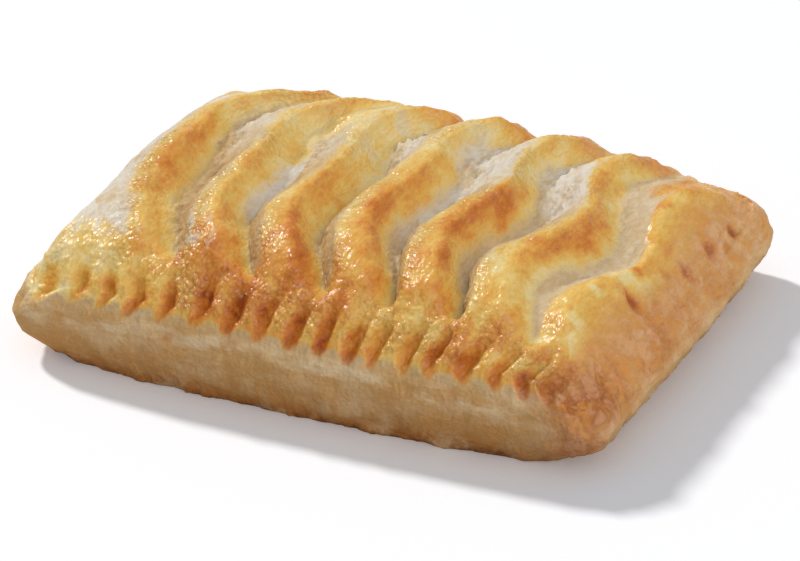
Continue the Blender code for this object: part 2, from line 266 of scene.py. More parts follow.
def lidHeight(s, t, lane, share):
    y = t * crust["halfWidth"]
    wide, far = widening(y), ramp(y, *crust["floorBackSpan"])
    deeps = [slash["deep"] * slashReach(y, slash["end"]) for slash in crust["slashes"]]
    cut = np.where(lane == -1, deeps[0] * ramp(share, *crust["leftSlope"]), 0.0)
    for k in range(6):
        deep = deeps[k] + (deeps[k + 1] - deeps[k]) * ramp(share, *crust["deepBlend"])
        cut = np.where(lane == k, deep * groove(share, crestLine(k, y), wide, far), cut)
    lastTo = crust["lastWallTo"] + crust["lastWallOpen"] * wide
    cut = np.where(lane == 6, deeps[6] * fade(share, crust["lastWall"] * wide, lastTo), cut)
    strip = (lane >= 0) & (lane <= 5)
    swell = np.where(strip, crust["swell"] * np.sin(np.pi * share), 0.0)
    # the first strip swells out of the dome, as no slash shows to its left
    first = (lane == 0) & (share < 0.5)
    swell = np.where(first, crust["swell"] * ramp(share, 0.0, 0.5), swell)
    return dome(s, t) + swell * slashReach(y, crust["slashBack"]) - cut


def fineGrid():
    # the solid's grid, cut more finely: columns follow the slashes, rows crowd to the long edges
    lanes = [(-1, k / crust["fineLeft"]) for k in range(crust["fineLeft"])]
    lanes += [(lane, k / crust["fineStrip"]) for lane in range(6) for k in range(crust["fineStrip"])]
    lanes += [(6, k / crust["fineRight"]) for k in range(crust["fineRight"] + 1)]
    lane, share = np.array(lanes).T
    # the solid's column at each fine one, which the fork marks are counted by
    stripColumns = crust["stripColumns"]
    steps = len(stripColumns) - 1
    inStrip = np.interp(share, stripColumns, range(steps + 1))
    inRight = crust["rightColumns"] * share ** (1 / crust["rightPower"])
    column = crust["leftColumns"] + steps * np.clip(lane, 0, 6)
    column = column + np.where((lane >= 0) & (lane < 6), inStrip, 0)
    column = np.where(lane == 6, column + inRight, column)
    column = np.where(lane == -1, crust["leftColumns"] * share, column)
    columns = crust["leftColumns"] + 6 * steps + crust["rightColumns"]

    even = np.linspace(-1, 1, crust["fineRows"] + 1)
    t = even * (1 + crust["rowCrowd"] - crust["rowCrowd"] * even**2)
    halfLength = crust["halfLength"]
    lines = [np.full(len(t), -halfLength)]
    lines += [slashLine(slash, t * crust["halfWidth"]) for slash in crust["slashes"]]
    lines += [np.full(len(t), halfLength)]
    start = np.stack([lines[int(k) + 1] for k in lane], axis=1)
    end = np.stack([lines[int(k) + 2] for k in lane], axis=1)
    aligned = (start + (end - start) * share) / halfLength
    spread = 2 * column / columns - 1
    hold = 1 - crust["edgeSpread"] * ramp(np.abs(t), crust["edgeSpreadFrom"], 1.0)[:, None]
    s = spread + (aligned - spread) * hold
    t = np.repeat(t[:, None], len(lane), axis=1)
    row = np.repeat(crust["rows"] * (even[:, None] + 1) / 2, len(lane), axis=1)
    full = np.ones_like(s)
    return dict(s=s, t=t, lane=lane * full, share=share * full, column=column * full, row=row)


def nearCorner(s, t):
    # how near to its corner a row of fork marks dies out
    return np.where((s > 0) & (t > 0), crust["crimpBackRight"], crust["crimpCorner"])


def crimpDents(g):
    # how deep the fork marks are at each point of the lid, and how baked their lower ends
    inX, inY = inFromEdges(g["s"], g["t"])
    onLong = ramp(inX, 0, nearCorner(g["s"], g["t"]))
    longDent, longToast = dent(g["column"], crust["crimpColumns"], inY)
    endDent, endToast = dent(g["row"] + 1, crust["crimpRows"], inX)
    onEnd = np.where(g["s"] > 0, crust["rightEndCrimp"], crust["leftEndCrimp"])
    onEnd = onEnd * ramp(inY, 0, crust["crimpCorner"])
    press = np.maximum(longDent * onLong, endDent * onEnd)
    return press, np.maximum(longToast * onLong, endToast * onEnd)


def smoothWall(count):
    # the wall's profile from edge to base, rounded between its named points
    profile = np.array(crust["wall"])
    knots = np.arange(len(profile))
    places = np.linspace(0, len(profile) - 1, count + 1)[1:]
    slope = np.gradient(profile, axis=0) * crust["wallRound"]
    k = np.clip(np.floor(places).astype(int), 0, len(profile) - 2)
    f = (places - knots[k])[:, None]
    a, b = profile[k], profile[k + 1]
    rounded = (
        a * (2 * f**3 - 3 * f**2 + 1) + b * (3 * f**2 - 2 * f**3)
        + slope[k] * (f**3 - 2 * f**2 + f) + slope[k + 1] * (f**3 - f**2)
    )
    rounded[-1] = profile[-1]
    return rounded


# Where the egg wash lies and how far it has browned, on each strip at these places along Y:
# the share where its left lip lies, its browning from 0 to 1, and the share where it ends
# at the right flank's foot.
wash = dict(
    places=(-48, -40, -31, -22, -12, 0, 10, 20, 32),
    strips=(
        dict(lip=(0.20, 0.32, 0.38, 0.42, 0.38, 0.31, 0.31, 0.42, 0.62),
             brown=(0.56, 0.40, 0.36, 0.50, 0.58, 0.60, 0.52, 0.36, 0.34), foot=0.90),
        dict(lip=(0.00, 0.20, 0.20, 0.24, 0.37, 0.45, 0.48, 0.54, 0.62),
             brown=(0.72, 0.58, 0.46, 0.36, 0.34, 0.38, 0.28, 0.16, 0.46), foot=1.02),
        dict(lip=(0.00, 0.14, 0.21, 0.27, 0.44, 0.52, 0.50, 0.46, 0.42),
             brown=(0.80, 0.74, 0.66, 0.56, 0.48, 0.40, 0.16, 0.05, 0.26), foot=0.92),
        dict(lip=(0.00, 0.12, 0.19, 0.24, 0.27, 0.30, 0.34, 0.42, 0.58),
             brown=(0.70, 0.56, 0.54, 0.64, 0.68, 0.64, 0.42, 0.14, 0.30), foot=0.82),
        dict(lip=(0.00, 0.02, 0.08, 0.24, 0.34, 0.38, 0.52, 0.54, 0.58),
             brown=(0.60, 0.48, 0.54, 0.72, 0.86, 0.80, 0.46, 0.14, 0.30), foot=0.84),
        dict(lip=(0.00, 0.02, 0.12, 0.28, 0.39, 0.43, 0.47, 0.48, 0.52),
             brown=(0.56, 0.36, 0.38, 0.46, 0.56, 0.60, 0.50, 0.36, 0.36), foot=0.92),
        dict(lip=(0.00, 0.00, 0.10, 0.19, 0.24, 0.27, 0.28, 0.30, 0.40),
             brown=(0.55, 0.40, 0.34, 0.34, 0.34, 0.36, 0.38, 0.40, 0.46), foot=1.0),
    ),
    # the crimped front rim's browning, at these places along X
    rimPlaces=(-66, -50, -38, -28, -16, -4, 8, 20, 34, 48, 60),
    rimLevels=(0.15, 0.22, 0.40, 0.54, 0.62, 0.60, 0.62, 0.42, 0.52, 0.58, 0.50),
    # the front right corner, baked like the right end: spans of s and of -t
    cornerAlong=(0.70, 0.95), cornerFront=(0.82, 1.0),
    wobbleFine=0.015, wobbleCoarse=0.04, softLeft=0.10, softRight=0.20,
    tornThin=0.3, streakThin=0.55, tornPale=0.88,
    toastBrown=0.31, betweenMarks=0.08, rimUneven=0.14, coreAt=0.65, coreHalf=0.19,
)


def washLevel(kind, lane, y):
    # a strip's named egg wash value, read along its length
    level = np.zeros_like(y)
    for k, strip in enumerate(wash["strips"]):
        along = strip[kind] if kind == "foot" else np.interp(y, wash["places"], strip[kind])
        level = np.where(lane == k, along, level)
    return level


def frontRightCorner(s, t):
    return ramp(s, *wash["cornerAlong"]) * ramp(-t, *wash["cornerFront"])


def spots(x, y, size, seed):
    return noise(x, y, size, seed) + 0.5 * noise(x, y, size / 2, seed + 1)


def washPatches(g, x, y):
    # what more than one finish follows: the wash's left lip and right end, and its thin spots
    lane, share = g["lane"], g["share"]
    wobble = wash["wobbleFine"] * noise(x, y, 2.8, 11) + wash["wobbleCoarse"] * noise(x, y, 7.0, 12)
    halfway = ramp(y, -26.0, -16.0) * fade(y, 2.0, 12.0)
    wholeStrip = 1.06  # at the front the wash runs right over to the next slash
    foot = washLevel("foot", lane, y) + 0.04
    right = wholeStrip + (foot - wholeStrip) * ramp(y, -46.0, -16.0) + 0.5 * wobble
    right = right + 0.2 * (lane == 2) * ramp(y, 4.0, 14.0)
    right = right + halfway * np.where(lane == 1, -0.18, np.where(lane == 2, 0.10, 0.0))
    # pale flecks beside the last slash
    flecks = ramp(spots(x, y, 4.0, 63), 0.0, 0.6) * (lane > 4) * (y < 10)
    flecks = flecks * np.where(lane == 6, fade(share, 0.45, 0.75), fade(y, -26.0, -12.0))
    # torn spots at the back, and streaks at the front of the first two strips
    torn = ramp(spots(x, y, 3.4, 65), 0.1, 0.6) * ramp(y, 6.0, 20.0) * (lane > 0) * (lane < 4)
    streaky = ramp(noise(x, y * 0.5, 1.6, 67) + 0.4 * noise(x, y, 1.0, 68), -0.35, 0.6)
    streaky = streaky * (lane < 2) * fade(y, -32.0, -20.0)
    streaky = streaky * (1 - ramp(share, 0.40, 0.70) * (lane >= 0))
    return dict(
        wobble=wobble, halfway=halfway, lip=washLevel("lip", lane, y), right=right,
        flecks=flecks, torn=torn, streaky=streaky,
    )


def washCover(g, x, y, patches):
    # how much egg wash lies on each point of the lid
    lane, share = g["lane"], g["share"]
    inX, inY = inFromEdges(g["s"], g["t"])
    wobble, torn = patches["wobble"], patches["torn"]
    lip, right = patches["lip"], patches["right"]
    cover = ramp(share, lip - wash["softLeft"] + wobble, lip + 0.08 + wobble)
    cover = cover * fade(share, right - wash["softRight"], right + 0.05)
    cover = np.where(lane == 6, ramp(share, lip - 0.05 + wobble, lip + 0.04 + wobble), cover)
    # the left slope has it at the front and along the back, and a tongue joins the first strip
    frontLeft = 0.75 * ramp(-y + 40 * wobble, 27.0 + 4 * share, 36.0 + 4 * share)
    backLeft = 0.85 * ramp(y + 40 * wobble, 24.0, 34.0)
    cover = np.where(lane == -1, np.maximum(frontLeft, backLeft), cover)
    tongue = ramp(0.36 * ramp(-y, 31.0, 47.0) - share + wobble, -0.07, 0.05) * ramp(-y, 29.0, 37.0)
    cover = np.where(lane == 0, np.maximum(cover, 0.75 * tongue), cover)
    # the third strip's back is mottled
    patch = (lane == 2) * ramp(y + 60 * wobble, 9.0, 19.0) * ramp(share + wobble, 0.15, 0.50)
    mottled = 0.45 + 0.55 * ramp(noise(x, y, 3.8, 15) + 0.4 * noise(x, y, 1.8, 16), -0.6, 0.3)
    cover = cover * (1 - patch) + patch * mottled * (1 - 0.6 * ramp(share, 0.90, 1.0))
    cover = cover * (1 - wash["tornThin"] * torn) * (1 - wash["streakThin"] * patches["streaky"])
    # the short slash closes early, and the wash runs over it
    overShort = (lane == 2) * ramp(y + 60 * wobble, 17.0, 26.0) * fade(share, 0.5, 0.7)
    cover = np.maximum(cover, overShort * (1 - wash["tornThin"] * torn))
    # it runs on past the slashes' ends and along the rims
    pastFront = fade(slashReach(y, crust["slashBack"]), 0.3, 0.95)
    pastBack = ramp(y + 60 * wobble, 23.0, 33.0) * (lane >= 0)
    pastBack = pastBack * (ramp(share, 0.0, 0.22) * (1 - ramp(share, 0.85, 1.0) * (lane < 6)))
    past = np.where(y < 0, pastFront, np.where(y > 0, pastBack, 0.0))
    rim = fade(inY + 30 * wobble, 3.0, 7.0)
    leftRim = fade(inX + 30 * wobble, 1.5, 4.5) * (g["s"] < 0) * fade(y, -40.0, -27.0)
    return np.maximum(cover, np.maximum(rim, np.maximum(leftRim, past)))


def washBrown(g, x, y, patches, press, toast):
    # how far the egg wash has browned
    lane, share = g["lane"], g["share"]
    inY = inFromEdges(g["s"], g["t"])[1]
    lip, right = patches["lip"], patches["right"]
    strip = (lane >= 0) & (lane < 6)
    core = np.exp(-(((share - wash["coreAt"]) / wash["coreHalf"]) ** 2))
    flat = ramp(-y, 22.0, 40.0)  # at the front the whole width browns
    across = 0.45 + 0.55 * core + 0.40 * flat * (1 - core)
    toRight = 1 - 0.6 * ramp(share, right - 0.30, right - 0.05)
    fromLip = 0.50 + 0.50 * ramp(share, lip - 0.05, lip + 0.13) + 0.4 * flat
    brown = washLevel("brown", lane, y)
    brown = np.where(strip, brown * across * toRight * np.clip(fromLip, 0, 1), brown)
    # pale on the left slope and on the first strip's front lip
    brown = np.where((lane == 0) & (share < 0.35) & (y < -22), 0.18, brown)
    brown = np.where(lane == -1, 0.14 + 0.10 * ramp(y, 24.0, 34.0), brown)
    onRim = fade(inY, 5.0, 10.0) * (y < 0)
    brown = brown + (np.interp(x, wash["rimPlaces"], wash["rimLevels"]) - brown) * onRim
    # the fork marks' ends are darkest, unevenly along the rim
    patchy = 0.88 + 0.4 * noise(x, y * 0, 9.5, 13) + 0.5 * ramp(x, 34.0, 48.0)
    brown = brown + wash["toastBrown"] * patchy * toast
    brown = brown - wash["betweenMarks"] * onRim * fade(press, 0.0, 0.3)
    brown = brown + wash["rimUneven"] * onRim * noise(x, y, 6.5, 19)
    brown = brown - np.where(lane == 5, 0.14, 0.26) * patches["flecks"]
    atBack = 0.46 - 0.14 * ramp(share, 0.5, 0.9) - 0.26 * fade(share, 0.15, 0.50)
    atBack = atBack + 0.12 * noise(x, y, 9.0, 18) + 0.20 * (lane > 1) * ramp(y, 31.0, 38.0)
    brown = np.where(strip, brown + (atBack - brown) * ramp(y, 30.0, 39.0), brown)
    return np.clip(brown, 0, 1)


def doughCream(g, x, y, patches):
    # how pale the bare dough is, from the slashes' floors to their white walls
    lane, share = g["lane"], g["share"]
    far = ramp(y, 12.0, 28.0)
    white = 0.38 + np.where(lane < 4, 0.36, 0.59) * ramp(y, -4.0, 12.0)
    white = np.where(lane == 0, 0.86, white)
    pale = 0.42 + 0.24 * ramp(y, -26.0, 0.0) + 0.12 * far
    midStrips = np.where((lane > 0) & (lane < 4), 0.16, 0)
    pale = pale + midStrips * ramp(y, -26.0, -12.0) * fade(y, 4.0, 16.0)
    onFlank = ramp(share, 0.62, 0.80)
    cream = white * (1 - onFlank) + pale * onFlank + (0.14 - 0.14 * far) * ramp(share, 0.82, 0.95)
    # darker at the foot of each slash's left wall: painted shade in the crease
    cream = cream - 0.12 * fade(share, 0.0, 0.12) * (1 - far)
    cream = cream + 0.10 * noise(x, y, 5.0, 14) + 0.10 * noise(x, y, 2.4, 17)
    cream = np.where((lane == 0) & (share > 0.6), 0.44 + 0.26 * far, cream)
    cream = np.where((lane == 1) & (share > 0.6), cream - 0.5 * far, cream)
    cream = np.where((lane == 6) | (lane == 5) & (share > 0.75), 0.64, cream)
    # the fourth slash is white at the back
    besideFourth = (lane == 2) * ramp(share, 0.6, 0.8) + (lane == 3) * fade(share, 0.1, 0.3)
    cream = cream + 0.25 * far * besideFourth
    cream = np.maximum(cream, wash["tornPale"] * np.maximum(patches["torn"], patches["streaky"]))
    cream = np.where(lane == -1, 0.95, cream)
    cream = cream + 0.30 * patches["halfway"] * (lane == 1) * ramp(share, 0.68, 0.80)
    return np.clip(cream, 0, 1)


def washBubbles(g, x, y, cover, toast):
    # bubbles crowd on the strips' left sides and on the crimped rim; the same mask sets painted glints
    # and painted shade there
    lane = g["lane"]
    inY = inFromEdges(g["s"], g["t"])[1]
    fromLip = g["share"] - washLevel("lip", lane, y) - 0.02
    crest = np.exp(-((fromLip / np.where(fromLip < 0, 0.28, 0.15)) ** 2)) * (lane >= 0) * (lane < 6)
    rim = 0.8 * fade(inY, 4.0, 13.0) * (y < 0)
    crowd = 0.35 + 0.65 * ramp(noise(x, y, 7.0, 61), -0.4, 0.4)
    bubblesAndPaintedLight = np.clip(np.maximum(crest, rim) * crowd + 0.10, 0, 1)
    bubblesAndPaintedLight = bubblesAndPaintedLight * (0.55 + 0.45 * cover) * (1 - 0.8 * toast)
    bubblesAndPaintedLight = bubblesAndPaintedLight * (1 - 0.55 * ((lane < 0) | (lane == 0) & (y < -34)))
    # the first two strips' front halves get more, which also strengthens their painted glints
    return bubblesAndPaintedLight * (1 + 0.45 * ((lane == 0) | (lane == 1)) * fade(y, 6.0, 18.0))


def lidSurface(g):
    # the lid's points, with the values that its finish and relief follow
    s, t, lane, share = g["s"], g["t"], g["lane"], g["share"]
    press, toast = crimpDents(g)
    inX, inY = inFromEdges(s, t)
    x, y = outline(s, t, crust["halfLength"], crust["halfWidth"], crust["lidCorner"])
    size = crust["lumpSize"]
    lumps = crust["lumps"] * (noise(x, y, size, 3) + 0.5 * noise(x, y, size / 2, 5))
    lumps = lumps * ramp(np.minimum(inX, inY), *crust["lumpSpan"])
    z = lidHeight(s, t, lane, share) + lumps
    lineY = t * crust["halfWidth"]
    patches = washPatches(g, x, lineY)
    cover = washCover(g, x, lineY, patches)
    # the right end, its front corner and patches of the back rim are pinkish and matt
    rose = np.where(lane == 6, ramp(share, 0.45, 0.9), 0)
    rose = np.maximum(rose, frontRightCorner(s, t))
    backRim = 0.6 * ramp(lineY, 33.0, 40.0) * (lane > 1) * ramp(noise(x, lineY, 6.0, 62), -0.6, 0.2)
    rose = np.maximum(rose, backRim)
    baked = 0.25 + 0.35 * ramp(lineY, -48.0, -20.0) + 0.2 * ramp(lineY, 0.0, 20.0)
    baked = baked - 0.12 * fade(inX, 2.0, 12.0) - 0.28 * frontRightCorner(s, t)
    lid = dict(
        x=x, y=y, z=z, bubblesAndPaintedLight=washBubbles(g, x, lineY, cover, toast), glaze=cover,
        brown=washBrown(g, x, lineY, patches, press, toast), cream=doughCream(g, x, lineY, patches),
        slash=np.clip((dome(s, t) - z) / 6.0, 0, 1), rose=rose, up=np.ones_like(x),
        lane=lane + share, press=press, baked=baked,
    )
    return lid, toast


def wallRings(g, lid, toast, loop):
    # the side wall's rings of points from the lid's edge down, with the same values
    s, t, column = (g[name].ravel()[loop] for name in ("s", "t", "column"))
    atEdge = {name: lid[name].ravel()[loop] for name in ("glaze", "brown", "rose", "baked")}
    toast = toast.ravel()[loop]
    edge, same = edgeHeight(s, t), np.ones(len(loop))
    onLong = (np.abs(t) > 0.9999) * ramp(inFromEdges(s, t)[0], 0, nearCorner(s, t))
    rings = []
    for outX, outY, share in smoothWall(crust["fineWall"]):
        cornerUp = ramp(share, 0.0, crust["wallCornerTo"])
        corner = crust["baseCorner"] + (crust["wallCorner"] - crust["baseCorner"]) * cornerUp
        x, y = outline(s, t, crust["halfLength"] + outX, crust["halfWidth"] + outY, corner)
        share = max(share, 0)
        # the fork marks' round ends run a little over the long edges
        press, over = dent(column, crust["crimpColumns"], -outY)
        crimped = onLong * (share > crust["wallCrimped"])
        press, over = press * crimped, over * crimped
        washed = ramp(share, 0.84 - 0.20 * over, 0.99 - 0.12 * over)
        rings.append(dict(
            x=x, y=y, z=edge * share, glaze=washed * atEdge["glaze"],
            brown=atEdge["brown"] * (0.55 + 0.45 * washed) + 0.3 * (over - toast) * washed,
            rose=np.maximum(
                atEdge["rose"] * ramp(share, 0.35, 0.8),
                frontRightCorner(s, t) * ramp(share, 0.0, 0.3),
            ),
            baked=atEdge["baked"], press=press, cream=0.5 * same, up=share * same,
            bubblesAndPaintedLight=0 * same, slash=0 * same, lane=0 * same,
        ))
    return rings


# Relief on the crust, each kind by its height and its size in millimetres.
relief = dict(
    bend=(1.2, 4.0), blister=(0.16, 3.2), pimple=(0.12, 1.4), bulge=(0.35, 4.5),
    leaf=(0.28, 1.7), thinLeaf=(0.28, 1.3), crinkle=(0.22, 2.6), tear=(0.36, 3.4), crumb=(0.42, 2.1),
    rimRidge=(0.35, 3.0), rimLump=(0.2, 2.0), endLump=(0.42, 4.2), endRidge=(0.34, 3.5),
    bubble=(0.28, 1.35), wallShiftX=(2.0, 5.0), wallShiftZ=(1.6, 5.0),
    wallWrinkle=(0.28, 5.5), wallCrease=(0.196, 3.0), wallLump=(0.40, 6.0), ragged=(0.45, 4.0),
    leavesAcross=18, ridgeHalf=0.22, beadHalf=0.55,
)


def ridged(x, y, size, seed):
    # thin crooked ridges, 1 on a ridge
    return 1 - np.clip(np.abs(noise(x, y, size, seed)) / relief["ridgeHalf"], 0, 1)


def beads(x, y, size, seed):
    # small round beads on a shaken lattice, 1 at a bead's top
    nearest = np.full_like(x, 9.0)
    ix, iy = np.floor(x / size), np.floor(y / size)
    for stepX in (-1, 0, 1):
        for stepY in (-1, 0, 1):
            cellX, cellY = ix + stepX, iy + stepY
            atX = cellX + 0.15 + 0.7 * lattice(cellX, cellY, seed)
            atY = cellY + 0.15 + 0.7 * lattice(cellX, cellY, seed + 3)
            nearest = np.minimum(nearest, np.hypot(x / size - atX, y / size - atY))
    return fade(nearest, 0.0, relief["beadHalf"])


def grown(kind, shape, x, y, seed):
    # relief of one kind: its height times a shape of its size
    high, size = relief[kind]
    return high * shape(x, y, size, seed)


def lidRelief(x, y, z, values):
    lane, glaze = values["lane"], values["glaze"]
    bendX, bendY = grown("bend", noise, x, y, 23), grown("bend", noise, x, y, 24)
    bentX, bentY = x + bendX, y + bendY
    blister = grown("blister", layered, bentX, y / 1.6 + bendY, 21)
    blister = blister + grown("pimple", noise, bentX, y / 1.3, 22)
    high, size = relief["bulge"]
    blister = blister + high * ramp(noise(x, y / 1.5, size, 25), 0.35, 0.8)
    # thin leaves of dough run along the slashes' walls
    across = relief["leavesAcross"] * lane
    leaf = grown("leaf", ridged, across + bendX, y / 3 + bendY, 31)
    leaf = leaf + grown("thinLeaf", noise, across, y / 4 + bendY, 32)
    crinkle = grown("crinkle", ridged, bentX, bentY, 33)
    # the strips' left walls are torn, most of all at the foot and towards the back
    climb = x + z
    torn = grown("tear", layered, climb + bendX, bentY, 38) + grown("crumb", beads, climb, y, 39)
    torn = torn * (0.4 + 0.6 * ramp(y, -8.0, 12.0)) * (1 + 0.7 * fade(lane % 1, 0.0, 0.22))
    torn = torn * (lane < 6) * fade(lane % 1, 0.45, 0.7)
    bare = (1 - glaze) * ramp(values["slash"], 0.05, 0.3) * (1 - 0.8 * ramp(lane, 5.6, 5.9))
    onRim = ramp(-y, 36.0, 44.0)
    rough = grown("rimRidge", ridged, bentX, bentY, 34) + grown("rimLump", layered, x, y, 35)
    lump = grown("endLump", layered, bentX, bentY, 36)
    lump = lump + grown("endRidge", ridged, x + 2 * bendX, y - x + bendY, 37)
    onEnd = np.clip(1.3 * values["rose"], 0, 1)
    height = blister * (0.5 + 0.5 * glaze) + (leaf + crinkle + torn) * bare
    height = height + rough * onRim + lump * onEnd
    return height + grown("bubble", beads, climb, y, 40) * values["bubblesAndPaintedLight"]


def wallRelief(x, y, z, up):
    around = np.where(np.abs(x) / 70 > np.abs(y) / 53, y, x)  # along the side, end or long
    shiftX = grown("wallShiftX", noise, around, z, 41)
    shiftZ = grown("wallShiftZ", noise, around, z, 42)
    height = grown("wallWrinkle", ridged, around + shiftX, 1.7 * z + shiftZ, 43)
    height = height + grown("wallCrease", ridged, around, z + shiftZ, 45)
    height = height + grown("wallLump", layered, around, 1.2 * z, 44)
    ragged = grown("ragged", layered, around, around * 0, 46) * fade(up, 0.05, 0.2)
    return height * fade(up, 0.8, 1) + ragged


def pointNormals(points, faces):
    a, b, c, d = (points[faces[:, k]] for k in range(4))
    across = np.cross(c - a, d - b)
    normals = np.zeros_like(points)
    for k in range(4):
        np.add.at(normals, faces[:, k], across)
    return normals / (np.linalg.norm(normals, axis=1)[:, None] + 1e-9)


def pitDepth(x, y):
    pitted = sum(
        deep * np.exp(-(((x - pitX) ** 2 + (y - pitY) ** 2) / wide**2))
        for pitX, pitY, wide, deep in crust["pits"]
    )
    return pitted * (1 + crust["pitUneven"] * noise(x, y, crust["pitUnevenSize"], 20))


def crustMesh():
    g = fineGrid()
    index = np.arange(g["s"].size).reshape(g["s"].shape)
    # the lid's edge, once round from the front left corner
    loop = np.concatenate([index[0, :-1], index[:-1, -1], index[-1, :0:-1], index[:0:-1, 0]])
    lid, toast = lidSurface(g)
    rings = wallRings(g, lid, toast, loop)
    cells = [index[:-1, :-1], index[:-1, 1:], index[1:, 1:], index[1:, :-1]]
    faces = [np.stack(cells, -1).reshape(-1, 4)]
    upper, count = loop, index.size
    for _ in rings:
        lower = count + np.arange(len(loop))
        count += len(loop)
        faces.append(np.stack([upper, lower, np.roll(lower, -1), np.roll(upper, -1)], -1))
        upper = lower
    faces = np.concatenate(faces)
    values = {name: np.concatenate([lid[name].ravel()] + [ring[name] for ring in rings]) for name in lid}
    points = np.stack([values.pop("x"), values.pop("y"), values.pop("z")], axis=1)
    # the part's frame has its origin in the middle of the base
    low, high = points.min(axis=0), points.max(axis=0)
    points -= np.array([(low[0] + high[0]) / 2, (low[1] + high[1]) / 2, low[2]])

    x, y, z = points.T
    onLid = values["up"] > 0.999
    pitted = pitDepth(x, y) * onLid
    values["baked"] = values["baked"] - crust["pitBaked"] * pitted
    values["brown"] = values["brown"] + crust["pitBrown"] * pitted
    height = np.where(onLid, lidRelief(x, y, z, values), wallRelief(x, y, z, values["up"]))
    height = height - crust["crimpDeep"] * values["press"] - pitted
    points = points + pointNormals(points, faces) * height[:, None]
    points[-len(loop):, 2] = 0
    points[:, 2] = np.clip(points[:, 2], 0, None)

    # the base is a fan round its middle
    middle = len(points)
    points = np.vstack([points, [[0, 0, 0]]])
    faces = faces.tolist() + [(int(q), int(p), middle) for p, q in zip(upper, np.roll(upper, -1))]
    mesh = bpy.data.meshes.new("crust")
    mesh.from_pydata((points * mm).tolist(), [], faces)
    for name, value in values.items():
        attribute = mesh.attributes.new(name, "FLOAT", "POINT")
        attribute.data.foreach_set("value", np.append(value, value[-1]).astype(np.float32))
    mesh.shade_smooth()
    mesh.validate()
    return mesh


def connect(tree, socket, value):
    # links a socket, or sets a plain value
    if isinstance(value, bpy.types.NodeSocket):
        tree.links.new(value, socket)
    else:
        socket.default_value = value


def node(tree, kind, **settings):
    # a node with its settings: the name of an input sets that input, another name the node
    made = tree.nodes.new(kind)
    for name, value in settings.items():
        socket = made.inputs.get(name.replace("_", " "))
        if socket is None:
            setattr(made, name, value)
        else:
            connect(tree, socket, value)
    return made


def worked(tree, operation, *values):
    made = node(tree, "ShaderNodeMath", operation=operation)
    for socket, value in zip(made.inputs, values):
        connect(tree, socket, value)
    return made.outputs[0]


def times(tree, first, second):
    return worked(tree, "MULTIPLY", first, second)


def plus(tree, first, second):
    return worked(tree, "ADD", first, second)


def minus(tree, first, second):
    return worked(tree, "SUBTRACT", first, second)


def spread(tree, value, low, high, fromLow=0.0, fromHigh=1.0):
    spans = dict(From_Min=fromLow, From_Max=fromHigh, To_Min=low, To_Max=high)
    return node(tree, "ShaderNodeMapRange", Value=value, **spans).outputs[0]


def above(tree, value, strength, low, high):
    # a mask that comes in from low to high, up to its strength
    return spread(tree, value, 0.0, strength, low, high)


def below(tree, value, strength, low, high):
    # and one that goes out from low to high
    return spread(tree, value, strength, 0.0, low, high)


def blended(tree, factor, first, second):
    made = node(tree, "ShaderNodeMix", data_type="RGBA")
    for k, value in ((0, factor), (6, first), (7, second)):
        connect(tree, made.inputs[k], value)
    return made.outputs[2]


def colorRamp(tree, factor, stops):
    made = node(tree, "ShaderNodeValToRGB", Fac=factor)
    while len(made.color_ramp.elements) < len(stops):
        made.color_ramp.elements.new(0.5)
    for element, (place, color) in zip(made.color_ramp.elements, stops):
        element.position = place
        element.color = (*color, 1)
    return made.outputs[0]


def surfaceValue(tree, name):
    return node(tree, "ShaderNodeAttribute", attribute_name=name).outputs["Fac"]


def speckle(tree, place, **pattern):
    return node(tree, "ShaderNodeTexNoise", Vector=place, **pattern).outputs[0]


def bakedBreakup():
    # uneven browning at two sizes, and the height of the fine blisters
    group = bpy.data.node_groups.new("bakedBreakup", "ShaderNodeTree")
    group.interface.new_socket("Place", in_out="INPUT", socket_type="NodeSocketVector")
    for name in ("Blotch Scale", "Grain Scale"):
        group.interface.new_socket(name, in_out="INPUT", socket_type="NodeSocketFloat")
    for name in ("Blotch", "Grain", "Blister"):
        group.interface.new_socket(name, in_out="OUTPUT", socket_type="NodeSocketFloat")
    given = group.nodes.new("NodeGroupInput").outputs
    made = group.nodes.new("NodeGroupOutput")
    place, fine = given["Place"], given["Grain Scale"]
    blotch = speckle(group, place, Scale=given["Blotch Scale"], Detail=4.0, Roughness=0.55)
    grain = speckle(group, place, Scale=fine, Detail=3.0, Roughness=0.6)
    bubble = node(group, "ShaderNodeTexVoronoi", Vector=place, Scale=times(group, fine, 1.2))
    blister = plus(group, blotch, times(group, grain, 0.35))
    blister = minus(group, blister, times(group, bubble.outputs["Distance"], 0.35))
    connect(group, made.inputs["Blotch"], spread(group, blotch, -1.0, 1.0, 0.25, 0.75))
    connect(group, made.inputs["Grain"], spread(group, grain, -1.0, 1.0, 0.25, 0.75))
    connect(group, made.inputs["Blister"], blister)
    return group


